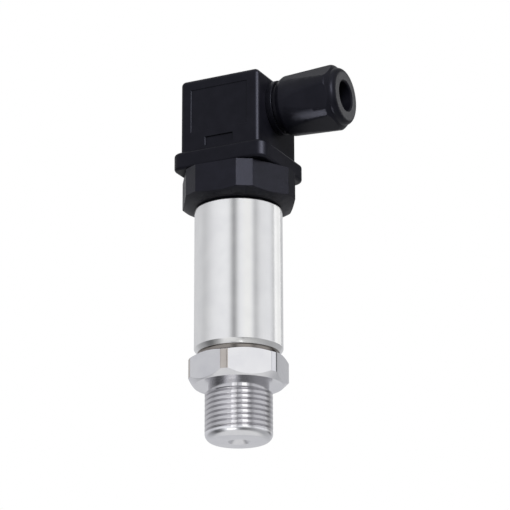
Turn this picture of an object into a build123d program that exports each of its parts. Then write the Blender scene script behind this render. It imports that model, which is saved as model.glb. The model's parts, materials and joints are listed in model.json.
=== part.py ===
from build123d import *
import os

# Compact pressure transmitter with an angled plug and a cable gland.
# A turned steel process connection carries an oil-filled measuring cell, a steel tube covers the
# amplifier, a black hexagonal base closes the tube and holds the contact blades, and the moulded
# plug sits on the blades, held down by one long screw.
# Millimetres, +Z up. The origin is the centre of the process thread's end face, and the cable
# gland points along +X.

# Process connection, stainless steel, turned from hexagon bar
THREAD_R = 10.0
THREAD_LENGTH = 14.3
THREAD_RUNOUT = 0.3
END_ROUND = 2.4
INLET_R = 1.5
INLET_MOUTH_R = 3.2
INLET_MOUTH_DEPTH = 2.0
NECK_R = 9.0
NECK_LENGTH = 2.4
HEX_ACROSS_FLATS = 27.0
HEX_CORNER_R = 14.95
HEX_HEIGHT = 8.4
HEX_FACE_R = 13.2
HEX_LOWER_CHAMFER = 1.7
HEX_UPPER_CHAMFER = 0.9
HEX_TURN = 40.3
GROOVE_DEPTH = 1.4
GROOVE_HEIGHT = 1.4
WEB_ABOVE_HEX_FACE = 3.0

# Housing tube, stainless steel
TUBE_R = 13.2
TUBE_WALL = 2.0
TUBE_LENGTH = 44.9
TUBE_LOWER_CHAMFER = 0.9
TUBE_LOWER_CHAMFER_HEIGHT = 1.4
TUBE_TOP_ROUND = 0.9
TUBE_FIT = 0.05

# Measuring cell, its seal and its lock ring
CELL_R = 9.5
CELL_HEIGHT = 8.0
CELL_FIT = 0.05
CELL_RIM = 1.3
DIAPHRAGM_DEPTH = 0.5
DIAPHRAGM_WAVE = 0.25
DIAPHRAGM_WAVES = 3
CELL_SEAL_SECTION = 1.5
CELL_SEAL_HEIGHT = 3.2
SEAL_SIDE_ROOM = 0.2
HEADER_R = 5.5
HEADER_HEIGHT = 0.8
PIN_COUNT = 5
PIN_START = 270
PIN_R = 0.25
PIN_CIRCLE_R = 3.8
PIN_DEPTH = 1.5
PIN_RISE = 0.7
LOCK_RING_HEIGHT = 3.2
LOCK_RING_WALL = 2.9
LOCK_RING_SLOT = 2.0
LOCK_RING_SLOT_DEPTH = 1.2
LOCK_RING_RECESS = 0.6

# Electronics
CERAMIC_R = 6.2
CERAMIC_THICKNESS = 1.0
CARRIER_HEIGHT = 4.0
CARRIER_FIT = 0.1
CARRIER_WINDOW_R = 5.5
BOARD_WIDTH = 17.0
BOARD_THICKNESS = 1.2
BOARD_HEADROOM = 7.5
BOARD_SLOT_DEPTH = 1.5
BOARD_SLOT_FIT = 0.05
BOARD_CORNER = 1.0
LINK_COUNT = 5
LINK_PITCH = 2.0
LINK_SIDE = 0.5
LINK_OVERLAP = 4.0
CHIP_SIZE = (7.5, 10.0, 2.2)
CHIP_HEIGHT = 11.0
CHIP_PIN_COUNT = 8
CHIP_PIN_PITCH = 1.1
CHIP_PIN_REACH = 1.1
CHIP_PIN_SIZE = (0.45, 0.5)
SMALL_PART_SIZE = (2.6, 1.6, 1.0)
SMALL_PART_PITCH = 3.2
SMALL_PART_COUNT = 4
SMALL_PART_GAP = 0.8
TRIMMER_SIZE = 4.4
TRIMMER_HEIGHT = 4.0
TRIMMER_SPACING = 6.4
TRIMMER_DROP = 3.6
TRIMMER_SCREW_R = 1.1
TRIMMER_SCREW_RISE = 0.5
TRIMMER_SLOT = 0.5

# Connector base, black glass-filled polyamide
BASE_ACROSS_FLATS = 32.8
BASE_OVER_CORNERS = 35.0
BASE_HEIGHT = 10.25
BASE_CONE_HEIGHT = 1.7
BASE_CONE_R = 13.7
BASE_TURN = 2.5
SPIGOT_LENGTH = 9.4
SPIGOT_WALL = 1.15
SPIGOT_CEILING = 3.9
TUBE_SEAL_SECTION = 1.5
TUBE_SEAL_DROP = 1.2
PLATFORM_HALF = 10.2
PLATFORM_HEIGHT = 1.3
PLATFORM_CORNER = 1.0
BUSH_R = 2.6
BUSH_DEPTH = 11.0
BUSH_FIT = 0.05

# Contact blades and their leads
CONTACT_ANGLES = (0, 90, 180)
EARTH_ANGLE = 270
BLADE_CIRCLE_R = 9.0
BLADE_WIDTH = 6.3
EARTH_BLADE_WIDTH = 6.8
BLADE_THICKNESS = 0.8
BLADE_LENGTH = 9.5
BLADE_TIP = 1.0
BLADE_FOOT_RISE = 1.4
TAIL_CIRCLE_R = 7.4
TAIL_WIDTH = 2.0
TAIL_LENGTH = 3.0
LEAD_R = 0.5
LEAD_BEND_R = 1.2
LEAD_PAD_X = 4.4
LEAD_PAD_DEPTH = 1.0

# Plug housing, black glass-filled polyamide
BOX_SIDE_X = 26.2
BOX_SIDE_Y = 26.2
BOX_CORNER = 1.6
BOX_TOP_ROUND = 1.5
CAVITY_CORNER = 1.2
BOX_WALL = 2.0
PLUG_HEIGHT = 28.85
PLUG_ROOF = 1.9
PLUG_GAP = 0.2
SKIRT_OUT_X = 2.3
SKIRT_OUT_Y = 1.5
SKIRT_CORNER = 3.3
SKIRT_HEIGHT = 5.5
SKIRT_TOP_ROUND = 0.9
SKIRT_FOOT_ROUND = 1.0
PANEL_SIZE = (18.6, 13.4)
PANEL_DROP = 10.3
PANEL_DEPTH = 0.2
POCKET_SIZE = (9.1, 2.6)
POCKET_DROP = 20.6
POCKET_DEPTH = 0.45
SCREW_RECESS_R = 3.1
SCREW_RECESS_DEPTH = 2.8
SCREW_BOSS_R = 4.3
SCREW_BOSS_DROP = 2.6
BLOCK_STOP_SIZE = 1.6

# Profile gasket
GASKET_THICKNESS = 1.7
GASKET_HALF = 11.9
GASKET_FIT = 0.1

# Terminal block with its clamps and screws
BLOCK_HEIGHT = 14.6
BLOCK_FIT = 0.1
BLOCK_CORNER = 1.0
BLOCK_BORE_R = 1.9
SLOT_ROOM = 0.35
CLAMP_DEPTH = 3.4
CLAMP_WIDTH = 7.5
CLAMP_HEIGHT = 12.4
CLAMP_FIT = 0.05
CLAMP_FLOOR = 1.8
CLAMP_BLADE_ROOM = 0.1
CLAMP_SOCKET_DEPTH = 8.2
WIRE_HOLE_R = 1.2
WIRE_HOLE_HEIGHT = 10.2
WIRE_WELL_R = 5.9
WIRE_WELL_SUMP = 0.6
WIRE_WELL_CORE_WALL = 1.0
TERMINAL_SCREW_R = 1.25
TERMINAL_SCREW_DEPTH = 1.0
TERMINAL_HEAD_R = 2.0
TERMINAL_HEAD_HEIGHT = 1.4
TERMINAL_HEAD_GAP = 0.6
SCREW_SLOT_WIDTH = 0.6
SCREW_SLOT_DEPTH = 0.8

# Retaining screw and its seal
SCREW_R = 1.5
SCREW_ENGAGEMENT = 10.0
SCREW_HEAD_R = 2.75
SCREW_HEAD_HEIGHT = 2.0
SCREW_HEAD_ROUND = 0.4
SCREW_TIP_ROUND = 0.5
SCREW_CLEARANCE = 0.1
SCREW_SEAL_THICKNESS = 0.6
SCREW_SEAL_R = 2.9

# Cable gland
GLAND_DROP = 8.8
BOSS_R = 8.3
BOSS_LENGTH = 1.9
SPOUT_R = 7.6
SPOUT_LENGTH = 10.0
SPOUT_BORE_R = 6.3
GLAND_THROAT_R = 4.6
GROMMET_SEAT = 2.0
GROMMET_LENGTH = 9.0
GROMMET_FIT = 0.1
GROMMET_HOLE_R = 3.6
GROMMET_GROOVES = 2
GROMMET_GROOVE = 0.5
THRUST_RING_THICKNESS = 1.0
THRUST_RING_FIT = 0.4
GLAND_FACE_GAP = 0.02

# Gland nut, black polyamide
NUT_GAP = 1.4
NUT_ENTRY_R = 8.5
NUT_SMALL_R = 9.2
NUT_LARGE_R = 9.95
NUT_ENTRY_LENGTH = 1.3
NUT_HEX_LENGTH = 16.6
NUT_ACROSS_FLATS = 18.5
NUT_TURN = 45
NUT_SHOULDER = 1.0
NUT_NOSE_R = 8.7
NUT_NOSE_LENGTH = 1.9
NUT_NOSE_ROUND = 1.6
NUT_BORE_R = 4.5
NUT_BORE_ROUND = 0.4
NUT_THREAD_FIT = 0.05

# Heights worked out from the sizes above, from the process end upwards
HEX_BOTTOM = THREAD_LENGTH + NECK_LENGTH
HEX_TOP = HEX_BOTTOM + HEX_HEIGHT
TUBE_BOTTOM = HEX_TOP + GROOVE_HEIGHT
TUBE_TOP = TUBE_BOTTOM + TUBE_LENGTH
TUBE_INNER_R = TUBE_R - TUBE_WALL
CELL_FLOOR = HEX_BOTTOM + WEB_ABOVE_HEX_FACE
CELL_TOP = CELL_FLOOR + CELL_HEIGHT
POCKET_R = CELL_R + CELL_FIT
PORT_TOP = CELL_TOP + LOCK_RING_HEIGHT + LOCK_RING_RECESS
CERAMIC_BOTTOM = CELL_TOP + HEADER_HEIGHT
CERAMIC_TOP = CERAMIC_BOTTOM + CERAMIC_THICKNESS
CARRIER_TOP = PORT_TOP + CARRIER_HEIGHT
BOARD_BOTTOM = CARRIER_TOP - BOARD_SLOT_DEPTH
SPIGOT_R = TUBE_INNER_R - TUBE_FIT
SPIGOT_BOTTOM = TUBE_TOP - SPIGOT_LENGTH
SPIGOT_ROOF = TUBE_TOP - SPIGOT_CEILING
BOARD_TOP = SPIGOT_ROOF - BOARD_HEADROOM
BASE_TOP = TUBE_TOP + BASE_HEIGHT
PLATFORM_TOP = BASE_TOP + PLATFORM_HEIGHT
BLADE_TOP = PLATFORM_TOP + BLADE_LENGTH
BLADE_FOOT = TUBE_TOP + BLADE_FOOT_RISE
TAIL_BOTTOM = SPIGOT_ROOF - TAIL_LENGTH
PLUG_BOTTOM = BASE_TOP + PLUG_GAP
PLUG_TOP = PLUG_BOTTOM + PLUG_HEIGHT
SKIRT_TOP = PLUG_BOTTOM + SKIRT_HEIGHT
CAVITY_TOP = PLUG_TOP - PLUG_ROOF
CAVITY_X = BOX_SIDE_X / 2 - BOX_WALL
CAVITY_Y = BOX_SIDE_Y / 2 - BOX_WALL
GASKET_TOP = BASE_TOP + GASKET_THICKNESS
BLOCK_BOTTOM = GASKET_TOP
BLOCK_TOP = BLOCK_BOTTOM + BLOCK_HEIGHT
CLAMP_BOTTOM = BLOCK_BOTTOM + CLAMP_FLOOR
CLAMP_TOP = CLAMP_BOTTOM + CLAMP_HEIGHT
WIRE_HEIGHT = CLAMP_BOTTOM + WIRE_HOLE_HEIGHT
SCREW_SEAT = PLUG_TOP - SCREW_RECESS_DEPTH
SCREW_HEAD_BOTTOM = SCREW_SEAT + SCREW_SEAL_THICKNESS
SCREW_HEAD_TOP = SCREW_HEAD_BOTTOM + SCREW_HEAD_HEIGHT
SCREW_TIP = PLATFORM_TOP - SCREW_ENGAGEMENT
GLAND_Z = PLUG_TOP - GLAND_DROP

# Stations along the gland's axis, measured from the middle of the plug
BOSS_END = BOX_SIDE_X / 2 + BOSS_LENGTH
SPOUT_END = BOSS_END + SPOUT_LENGTH
GROMMET_START = BOSS_END + GROMMET_SEAT
GROMMET_END = GROMMET_START + GROMMET_LENGTH
THRUST_RING_END = GROMMET_END + THRUST_RING_THICKNESS + GLAND_FACE_GAP
NUT_START = BOSS_END + NUT_GAP
NUT_HEX_END = NUT_START + NUT_HEX_LENGTH
NUT_NOSE_START = NUT_HEX_END + NUT_SHOULDER
NUT_END = NUT_NOSE_START + NUT_NOSE_LENGTH

# Turn from a hexagon's corner to the middle of its next side
HALF_SIDE_TURN = 360 / 6 / 2

# Blocks and cylinders stand on the height they are given
STANDING = (Align.CENTER, Align.CENTER, Align.MIN)

# Local +Z of this plane runs out along the gland, with its own X axis across the plug
GLAND_PLANE = Plane(origin=(0, 0, GLAND_Z), x_dir=(0, 1, 0), z_dir=(1, 0, 0))


def disc(radius, bottom, top):
    """Cylinder about Z between two heights."""
    return Pos(0, 0, bottom) * Cylinder(radius, top - bottom, align=STANDING)


def ring(outer, inner, bottom, top):
    """Round collar about Z between two heights."""
    return disc(outer, bottom, top) - disc(inner, bottom, top)


def turned(corners, rounds=()):
    """Solid turned about Z from (radius, height) corners; rounds lists (corner, radius) pairs."""
    face = make_face(Polyline(*corners, close=True))
    for corner, radius in rounds:
        vertex = face.vertices().sort_by_distance((*corners[corner], 0))[0]
        face = fillet(vertex, radius)
    return revolve(Plane.XZ * face, Axis.Z)


def brick(size, place, bottom):
    """Block of size (x, y, z) centred at place (x, y) and standing on a height."""
    return Pos(*place, bottom) * Box(*size, align=STANDING)


def slab(half_x, half_y, corner, bottom, top):
    """Block with rounded upright edges between two heights."""
    outline = RectangleRounded(2 * half_x, 2 * half_y, corner)
    return extrude(Pos(0, 0, bottom) * outline, top - bottom)


def hexagon(across_flats, turn, bottom, top):
    """Hexagonal bar about Z with a corner at the angle turn."""
    outline = RegularPolygon(across_flats / 2, 6, major_radius=False, rotation=turn)
    return extrude(Pos(0, 0, bottom) * outline, top - bottom)


def around(count, start=0.0):
    """Turns about Z, evenly spaced."""
    return [Rot(0, 0, start + 360 * number / count) for number in range(count)]


def toroid(circle_r, section_r, height):
    """Round-section seal about Z, centred at a height."""
    return Pos(0, 0, height) * Torus(circle_r, section_r)


def process_port():
    """Thread shank, neck, hexagon and the spigot with the cell's pocket, all one turned piece."""
    shank = turned(
        [(0, 0), (THREAD_R, 0), (THREAD_R, THREAD_LENGTH), (NECK_R, THREAD_LENGTH + THREAD_RUNOUT),
         (NECK_R, HEX_BOTTOM), (0, HEX_BOTTOM)],
        rounds=[(1, END_ROUND)],
    )
    blank = turned(
        [(0, HEX_BOTTOM), (HEX_FACE_R, HEX_BOTTOM), (HEX_CORNER_R, HEX_BOTTOM + HEX_LOWER_CHAMFER),
         (HEX_CORNER_R, HEX_TOP - HEX_UPPER_CHAMFER), (HEX_FACE_R, HEX_TOP), (0, HEX_TOP)]
    )
    flats = blank & hexagon(HEX_ACROSS_FLATS, HEX_TURN, HEX_BOTTOM, HEX_TOP)
    collar = disc(TUBE_R - GROOVE_DEPTH, HEX_TOP, TUBE_BOTTOM)
    spigot = disc(SPIGOT_R, TUBE_BOTTOM, PORT_TOP)
    inlet = turned(
        [(0, 0), (INLET_MOUTH_R, 0), (INLET_R, INLET_MOUTH_DEPTH), (INLET_R, CELL_FLOOR), (0, CELL_FLOOR)]
    )
    return shank + flats + collar + spigot - inlet - disc(POCKET_R, CELL_FLOOR, PORT_TOP)


def cell_seal_room():
    """Groove round the cell for its seal, as a solid to cut away."""
    middle = CELL_FLOOR + CELL_SEAL_HEIGHT
    half = CELL_SEAL_SECTION / 2 + SEAL_SIDE_ROOM / 2
    return ring(POCKET_R, POCKET_R - CELL_SEAL_SECTION, middle - half, middle + half)


def diaphragm_hollow():
    """Shallow room under the cell, with the diaphragm's rings pressed into its roof."""
    edge = CELL_R - CELL_RIM
    roof = CELL_FLOOR + DIAPHRAGM_DEPTH
    step = edge / (2 * DIAPHRAGM_WAVES + 1)
    outline = [(0, CELL_FLOOR), (edge, CELL_FLOOR), (edge, roof)]
    for wave in range(2 * DIAPHRAGM_WAVES):
        lift = DIAPHRAGM_WAVE if wave % 2 == 0 else 0.0
        outline.append((edge - (wave + 1) * step, roof + lift))
    outline.append((0, roof))
    return turned(outline)


def pin_holes(bottom, top):
    """The cell's pins as plain rods between two heights, for the pins and for their holes."""
    rod = Pos(PIN_CIRCLE_R, 0, 0) * disc(PIN_R, bottom, top)
    return Part() + [turn * rod for turn in around(PIN_COUNT, PIN_START)]


def sensor_cell():
    """Oil-filled steel cell with a corrugated diaphragm below and a glass header above."""
    body = disc(CELL_R, CELL_FLOOR, CELL_TOP) + disc(HEADER_R, CELL_TOP, CERAMIC_BOTTOM)
    pins = pin_holes(CELL_TOP - PIN_DEPTH, CERAMIC_BOTTOM)
    return body - cell_seal_room() - diaphragm_hollow() - pins


def cell_seal():
    """O-ring between the cell and its pocket."""
    section_r = CELL_SEAL_SECTION / 2
    return toroid(POCKET_R - section_r, section_r, CELL_FLOOR + CELL_SEAL_HEIGHT)


def cell_pins():
    """Gold-plated pins from the cell through the ceramic board."""
    return pin_holes(CELL_TOP - PIN_DEPTH, CERAMIC_TOP + PIN_RISE)


def cell_lock_ring():
    """Threaded ring that holds the cell down, with four notches for its key."""
    body = ring(CELL_R, CELL_R - LOCK_RING_WALL, CELL_TOP, CELL_TOP + LOCK_RING_HEIGHT)
    top = CELL_TOP + LOCK_RING_HEIGHT
    slot = brick((2 * CELL_R, LOCK_RING_SLOT, LOCK_RING_SLOT_DEPTH), (0, 0), top - LOCK_RING_SLOT_DEPTH)
    return body - slot - Rot(0, 0, 90) * slot


def compensation_board():
    """Round ceramic board soldered on the cell's pins."""
    return disc(CERAMIC_R, CERAMIC_BOTTOM, CERAMIC_TOP) - pin_holes(CERAMIC_BOTTOM, CERAMIC_TOP)


def link_pins():
    """Row of square pins from the ceramic board up against the amplifier board."""
    first = -LINK_PITCH * (LINK_COUNT - 1) / 2
    side = BOARD_THICKNESS / 2 + LINK_SIDE / 2
    length = BOARD_BOTTOM + LINK_OVERLAP - CERAMIC_TOP
    pins = [
        brick((LINK_SIDE, LINK_SIDE, length), (first + number * LINK_PITCH, side), CERAMIC_TOP)
        for number in range(LINK_COUNT)
    ]
    return Part() + pins


def board_carrier():
    """Moulded ring on the port's spigot with a slot for the amplifier board."""
    body = ring(TUBE_INNER_R - CARRIER_FIT, CARRIER_WINDOW_R, PORT_TOP, CARRIER_TOP)
    slot = (BOARD_WIDTH + 2 * BOARD_SLOT_FIT, BOARD_THICKNESS + 2 * BOARD_SLOT_FIT, BOARD_SLOT_DEPTH)
    return body - brick(slot, (0, 0), BOARD_BOTTOM)


def amplifier_board():
    """Upright printed circuit board in the middle of the tube."""
    outline = RectangleRounded(BOARD_WIDTH, BOARD_TOP - BOARD_BOTTOM, BOARD_CORNER)
    middle = (BOARD_BOTTOM + BOARD_TOP) / 2
    return Pos(0, 0, middle) * extrude(Plane.XZ * outline, BOARD_THICKNESS / 2, both=True)


def chip():
    """Leaded chip lying on the board's front face, with its legs down both sides."""
    width, length, height = CHIP_SIZE
    face = -BOARD_THICKNESS / 2
    leg_width, leg_height = CHIP_PIN_SIZE
    body = Pos(0, face - height / 2, BOARD_BOTTOM + CHIP_HEIGHT + length / 2) * Box(width, height, length)
    first = BOARD_BOTTOM + CHIP_HEIGHT + length / 2 - CHIP_PIN_PITCH * (CHIP_PIN_COUNT - 1) / 2
    for number in range(CHIP_PIN_COUNT):
        leg = Box(width + 2 * CHIP_PIN_REACH, leg_height, leg_width)
        body += Pos(0, face - leg_height / 2, first + number * CHIP_PIN_PITCH) * leg
    return body


def board_components():
    """The chip on the board's front and a column of small parts on its back, below the trimmers."""
    length, width, height = SMALL_PART_SIZE
    highest = BOARD_TOP - TRIMMER_DROP - TRIMMER_SIZE / 2 - SMALL_PART_GAP - width / 2
    parts = [chip()]
    for number in range(SMALL_PART_COUNT):
        place = highest - number * SMALL_PART_PITCH
        parts.append(Pos(0, (BOARD_THICKNESS + height) / 2, place) * Box(length, height, width))
    return Part() + parts


def trimmer(place_x):
    """Square trimming potentiometer on the back of the board, near its top."""
    face = BOARD_THICKNESS / 2
    height = BOARD_TOP - TRIMMER_DROP
    body = Pos(place_x, face + TRIMMER_HEIGHT / 2, height) * Box(TRIMMER_SIZE, TRIMMER_HEIGHT, TRIMMER_SIZE)
    seat = Plane(origin=(place_x, face + TRIMMER_HEIGHT, height), z_dir=(0, 1, 0))
    screw = extrude(seat * Circle(TRIMMER_SCREW_R), TRIMMER_SCREW_RISE)
    slot = extrude(seat * Rectangle(2 * TRIMMER_SCREW_R, TRIMMER_SLOT), TRIMMER_SCREW_RISE)
    return body + (screw - slot)


def trim_potentiometers():
    """Zero and span trimmers, side by side."""
    return Part() + [trimmer(side * TRIMMER_SPACING / 2) for side in (-1, 1)]


def housing_tube():
    """Plain steel tube, chamfered at its lower end and rounded at its upper one."""
    return turned(
        [(TUBE_INNER_R, TUBE_BOTTOM), (TUBE_R - TUBE_LOWER_CHAMFER, TUBE_BOTTOM),
         (TUBE_R, TUBE_BOTTOM + TUBE_LOWER_CHAMFER_HEIGHT), (TUBE_R, TUBE_TOP), (TUBE_INNER_R, TUBE_TOP)],
        rounds=[(3, TUBE_TOP_ROUND)],
    )


def tube_seal():
    """O-ring between the connector base and the tube."""
    section_r = TUBE_SEAL_SECTION / 2
    return toroid(TUBE_INNER_R - section_r, section_r, TUBE_TOP - TUBE_SEAL_DROP)


def blade(width, angle):
    """One contact: blade above the base, foot inside it and soldering tail below it."""
    bottom = BLADE_FOOT
    outline = Rectangle(width, BLADE_TOP - bottom, align=(Align.CENTER, Align.MIN))
    tips = outline.vertices().group_by(Axis.Y)[-1]
    outline = chamfer(tips, BLADE_TIP)
    upright = Plane(origin=(BLADE_CIRCLE_R, 0, bottom), x_dir=(0, 1, 0), z_dir=(1, 0, 0))
    body = extrude(upright * outline, BLADE_THICKNESS / 2, both=True)
    reach = BLADE_CIRCLE_R - TAIL_CIRCLE_R + BLADE_THICKNESS
    middle = (BLADE_CIRCLE_R + TAIL_CIRCLE_R) / 2
    body += brick((reach, TAIL_WIDTH, BLADE_THICKNESS), (middle, 0), bottom)
    body += brick((BLADE_THICKNESS, TAIL_WIDTH, bottom - TAIL_BOTTOM), (TAIL_CIRCLE_R, 0), TAIL_BOTTOM)
    return Rot(0, 0, angle) * body


def contact_blades():
    """The three signal contacts."""
    return Part() + [blade(BLADE_WIDTH, angle) for angle in CONTACT_ANGLES]


def earth_blade():
    """The protective earth contact, a little wider than the others."""
    return blade(EARTH_BLADE_WIDTH, EARTH_ANGLE)


def screw_bush():
    """Brass threaded bush moulded into the middle of the base."""
    body = disc(BUSH_R, PLATFORM_TOP - BUSH_DEPTH, PLATFORM_TOP)
    return body - disc(SCREW_R + BUSH_FIT, SCREW_TIP - BUSH_FIT, PLATFORM_TOP)


def base_hexagon():
    """Hexagonal flange with flat-cut corners and a coned underside."""
    bar = hexagon(BASE_ACROSS_FLATS, BASE_TURN, TUBE_TOP, BASE_TOP)
    corners = hexagon(BASE_OVER_CORNERS, BASE_TURN + HALF_SIDE_TURN, TUBE_TOP, BASE_TOP)
    slope = (BASE_OVER_CORNERS / 2 - BASE_CONE_R) / BASE_CONE_HEIGHT
    far_r = BASE_CONE_R + slope * BASE_HEIGHT
    cone = turned([(0, TUBE_TOP), (BASE_CONE_R, TUBE_TOP), (far_r, BASE_TOP), (0, BASE_TOP)])
    return bar & corners & cone


def connector_base():
    """Hexagonal base with the spigot that enters the tube and the platform under the plug."""
    spigot = disc(SPIGOT_R, SPIGOT_BOTTOM, TUBE_TOP)
    room = disc(SPIGOT_R - SPIGOT_WALL, SPIGOT_BOTTOM, SPIGOT_ROOF)
    seal_middle = TUBE_TOP - TUBE_SEAL_DROP
    half = (TUBE_SEAL_SECTION + SEAL_SIDE_ROOM) / 2
    groove = ring(SPIGOT_R, TUBE_INNER_R - TUBE_SEAL_SECTION, seal_middle - half, seal_middle + half)
    platform = slab(PLATFORM_HALF, PLATFORM_HALF, PLATFORM_CORNER, BASE_TOP, PLATFORM_TOP)
    bush = disc(BUSH_R, PLATFORM_TOP - BUSH_DEPTH, PLATFORM_TOP)
    return base_hexagon() + spigot + platform - room - groove - bush - contact_blades() - earth_blade()


def lead(angle, column, side):
    """Insulated wire from a blade's tail, over to a pad near the amplifier board's top edge."""
    start = Vector(TAIL_CIRCLE_R, 0, TAIL_BOTTOM).rotate(Axis.Z, angle)
    pad_x = column * LEAD_PAD_X
    pad_y = side * (BOARD_THICKNESS / 2 + LEAD_R)
    level = (TAIL_BOTTOM + BOARD_TOP) / 2
    path = FilletPolyline(
        start,
        (start.X, start.Y, level),
        (pad_x, pad_y, level),
        (pad_x, pad_y, BOARD_TOP - LEAD_PAD_DEPTH),
        radius=LEAD_BEND_R,
    )
    return sweep(Plane(origin=path @ 0, z_dir=path % 0) * Circle(LEAD_R), path=path)


def lead_wires():
    """Three wires from the signal contacts to the board, two on its front and one on its back."""
    columns_and_sides = [(1, -1), (0, 1), (-1, -1)]
    return Part() + [lead(angle, *pad) for angle, pad in zip(CONTACT_ANGLES, columns_and_sides)]


def plug_skirt():
    """Band round the plug's foot with rounded edges, standing out further along the gland."""
    half_x = BOX_SIDE_X / 2 + SKIRT_OUT_X
    half_y = BOX_SIDE_Y / 2 + SKIRT_OUT_Y
    band = slab(half_x, half_y, SKIRT_CORNER, PLUG_BOTTOM, SKIRT_TOP)
    band = fillet(band.faces().sort_by(Axis.Z)[-1].edges(), SKIRT_TOP_ROUND)
    return fillet(band.faces().sort_by(Axis.Z)[0].edges(), SKIRT_FOOT_ROUND)


def side_recess(size, drop, depth):
    """Shallow rectangular recess in the plug's front face, drop being its middle below the top."""
    width, height = size
    return Pos(0, -BOX_SIDE_Y / 2, PLUG_TOP - drop) * Box(width, 2 * depth, height)


def gland_solid(solid):
    """Solid made about Z, moved so that its Z runs out along the gland."""
    return GLAND_PLANE.location * solid


def block_stops():
    """Ledges in the corners of the plug's cavity, down to the terminal block's top."""
    stops = Part()
    for side_x in (-1, 1):
        for side_y in (-1, 1):
            place = (side_x * (CAVITY_X - BLOCK_STOP_SIZE / 2), side_y * (CAVITY_Y - BLOCK_STOP_SIZE / 2))
            stops += brick((BLOCK_STOP_SIZE, BLOCK_STOP_SIZE, CAVITY_TOP - BLOCK_TOP), place, BLOCK_TOP)
    return stops


def plug_housing():
    """Moulded plug: box, skirt, gland boss and spout, hollow for the terminal block and the wires."""
    box = slab(BOX_SIDE_X / 2, BOX_SIDE_Y / 2, BOX_CORNER, PLUG_BOTTOM, PLUG_TOP)
    box = fillet(box.faces().sort_by(Axis.Z)[-1].edges(), BOX_TOP_ROUND)
    boss = gland_solid(disc(BOSS_R, CAVITY_X, BOSS_END))
    spout = gland_solid(disc(SPOUT_R, CAVITY_X, SPOUT_END))
    cavity = slab(CAVITY_X, CAVITY_Y, CAVITY_CORNER, PLUG_BOTTOM, CAVITY_TOP)
    seat = slab(GASKET_HALF + GASKET_FIT, GASKET_HALF + GASKET_FIT, BLOCK_CORNER, PLUG_BOTTOM, GASKET_TOP)
    throat = gland_solid(disc(GLAND_THROAT_R, CAVITY_X, GROMMET_START))
    spout_bore = gland_solid(disc(SPOUT_BORE_R, GROMMET_START, SPOUT_END))
    body = box + plug_skirt() + boss + spout - cavity - seat
    body += disc(SCREW_BOSS_R, CAVITY_TOP - SCREW_BOSS_DROP, CAVITY_TOP) + block_stops()
    body -= disc(SCREW_RECESS_R, SCREW_SEAT, PLUG_TOP)
    body -= disc(SCREW_R + SCREW_CLEARANCE, CAVITY_TOP - SCREW_BOSS_DROP, SCREW_SEAT)
    body -= side_recess(PANEL_SIZE, PANEL_DROP, PANEL_DEPTH)
    body -= side_recess(POCKET_SIZE, POCKET_DROP, POCKET_DEPTH)
    return body - throat - spout_bore


def profile_gasket():
    """Flat square gasket between the base and the plug."""
    inner = PLATFORM_HALF + GASKET_FIT
    body = slab(GASKET_HALF, GASKET_HALF, BLOCK_CORNER, BASE_TOP, GASKET_TOP)
    return body - slab(inner, inner, PLATFORM_CORNER, BASE_TOP, GASKET_TOP)


def clamp_room(grow, top):
    """Space of one clamp along +X, grown on its sides and floor, up to a height."""
    bottom = CLAMP_BOTTOM - grow
    size = (CLAMP_DEPTH + 2 * grow, CLAMP_WIDTH + 2 * grow, top - bottom)
    return brick(size, (BLADE_CIRCLE_R, 0), bottom)


def wire_way(start, end):
    """Round hole along +X for one core of the cable, between two distances from the axis."""
    seat = Plane(origin=(start, 0, WIRE_HEIGHT), x_dir=(0, 1, 0), z_dir=(1, 0, 0))
    return extrude(seat * Circle(WIRE_HOLE_R), end - start)


def terminal_block():
    """Moulded insert: screw bore in the middle, wire well round it and four clamp chambers."""
    half_x, half_y = CAVITY_X - BLOCK_FIT, CAVITY_Y - BLOCK_FIT
    body = slab(half_x, half_y, BLOCK_CORNER, BLOCK_BOTTOM, BLOCK_TOP)
    body -= disc(BLOCK_BORE_R, BLOCK_BOTTOM, BLOCK_TOP)
    well_floor = WIRE_HEIGHT - WIRE_HOLE_R - WIRE_WELL_SUMP
    body -= ring(WIRE_WELL_R, BLOCK_BORE_R + WIRE_WELL_CORE_WALL, well_floor, BLOCK_TOP)
    slot = (BLADE_THICKNESS + 2 * SLOT_ROOM, EARTH_BLADE_WIDTH + 2 * SLOT_ROOM, CLAMP_FLOOR)
    for turn in around(4):
        body -= turn * clamp_room(CLAMP_FIT, BLOCK_TOP)
        body -= turn * brick(slot, (BLADE_CIRCLE_R, 0), BLOCK_BOTTOM)
        body -= turn * wire_way(WIRE_WELL_R - WIRE_HOLE_R, BLADE_CIRCLE_R)
    return body


def terminal_clamp():
    """Brass contact along +X: blade socket below, wire cage with a screw hole above."""
    room = 2 * CLAMP_BLADE_ROOM
    socket = (BLADE_THICKNESS + room, EARTH_BLADE_WIDTH + room, CLAMP_SOCKET_DEPTH)
    body = clamp_room(0, CLAMP_TOP) - brick(socket, (BLADE_CIRCLE_R, 0), CLAMP_BOTTOM)
    body -= wire_way(BLADE_CIRCLE_R - CLAMP_DEPTH, BLADE_CIRCLE_R + CLAMP_DEPTH)
    return body - Pos(BLADE_CIRCLE_R, 0, 0) * disc(TERMINAL_SCREW_R, WIRE_HEIGHT, CLAMP_TOP)


def terminal_clamps():
    """The four brass contacts in the block."""
    return Part() + [turn * terminal_clamp() for turn in around(4)]


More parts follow.
